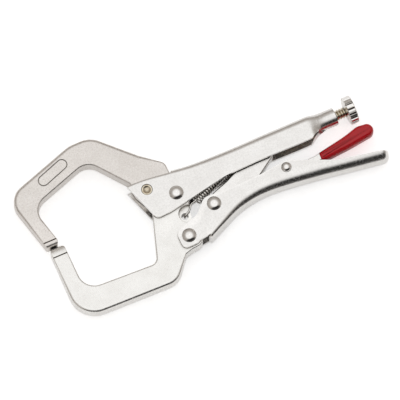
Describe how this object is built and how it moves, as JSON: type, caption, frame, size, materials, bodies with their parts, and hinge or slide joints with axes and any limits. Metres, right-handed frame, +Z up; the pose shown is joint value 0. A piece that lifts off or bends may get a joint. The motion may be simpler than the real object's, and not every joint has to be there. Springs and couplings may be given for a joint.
{
  "type": "c-clamp locking pliers",
  "caption": "C-clamp locking pliers with wide curved jaws, folded sheet handles, toggle link, knurled adjusting screw and red release lever.",
  "frame": {"origin": "on the jaw pivot's axis, at the underside of its rivet head, in the plane that the tool rests on", "axes": "+X along the adjusting screw towards its knob, +Y towards the spine of the upper handle, +Z up, parallel to every pivot"},
  "size_m": [0.1634, 0.0778, 0.015],
  "materials": {
    "satin_nickel": "satin nickel plate over pressed and forged steel",
    "bright_nickel": "bright nickel plate",
    "dark_steel": "oiled steel, slightly brown",
    "spring_steel": "bare spring wire",
    "red_vinyl": "dipped glossy vinyl"
  },
  "bodies": {
    "upper_handle": {"upper_handle": "satin_nickel", "upper_jaw": "satin_nickel", "upper_jaw_pin": "dark_steel", "jaw_pivot_rivet": "bright_nickel", "return_spring": "spring_steel"},
    "lower_jaw": {"lower_jaw": "satin_nickel", "handle_pivot_rivet": "bright_nickel"},
    "lower_handle": {"lower_handle": "satin_nickel", "link_pivot_rivet": "bright_nickel", "lever_pivot_rivet": "bright_nickel"},
    "toggle_link": {"toggle_link": "satin_nickel"},
    "release_lever": {"release_lever": "satin_nickel", "release_lever_sleeve": "red_vinyl"},
    "adjusting_screw": {"adjusting_screw": "dark_steel"},
    "adjusting_knob": {"adjusting_knob": "bright_nickel"}
  },
  "joints": [
    {"name": "jaw_pivot", "type": "hinge", "parent": "upper_handle", "child": "lower_jaw", "pos_m": [0, 0, 0.0075], "axis": [0, 0, 1], "range_deg": [0, 20], "deforming": ["return_spring"]},
    {"name": "handle_pivot", "type": "hinge", "parent": "lower_jaw", "child": "lower_handle", "pos_m": [-0.0028, -0.0205, 0.0075], "axis": [0, 0, -1], "range_deg": [0, 58.7]},
    {"name": "link_pivot", "type": "hinge", "parent": "lower_handle", "child": "toggle_link", "pos_m": [0.0134, -0.0114, 0.0075], "axis": [0, 0, 1], "range_deg": [0, 61.9]},
    {"name": "lever_pivot", "type": "hinge", "parent": "lower_handle", "child": "release_lever", "pos_m": [0.0498, -0.0091, 0.0075], "axis": [0, 0, -1], "range_deg": [0, 10]},
    {"name": "screw_advance", "type": "slide", "parent": "upper_handle", "child": "adjusting_screw", "axis": [1, 0, 0], "range_m": [0, 0.0125]},
    {"name": "knob_turn", "type": "hinge", "parent": "adjusting_screw", "child": "adjusting_knob", "pos_m": [0.0852, 0.0054, 0.0075], "axis": [1, 0, 0], "range_deg": [0, 3600]}
  ],
  "couplings": [
    {"joint": "jaw_pivot", "follows": "handle_pivot", "ratio": 0.3405},
    {"joint": "link_pivot", "follows": "handle_pivot", "ratio": 1.0537},
    {"joint": "knob_turn", "follows": "screw_advance", "rad_per_m": 5026.5}
  ]
}
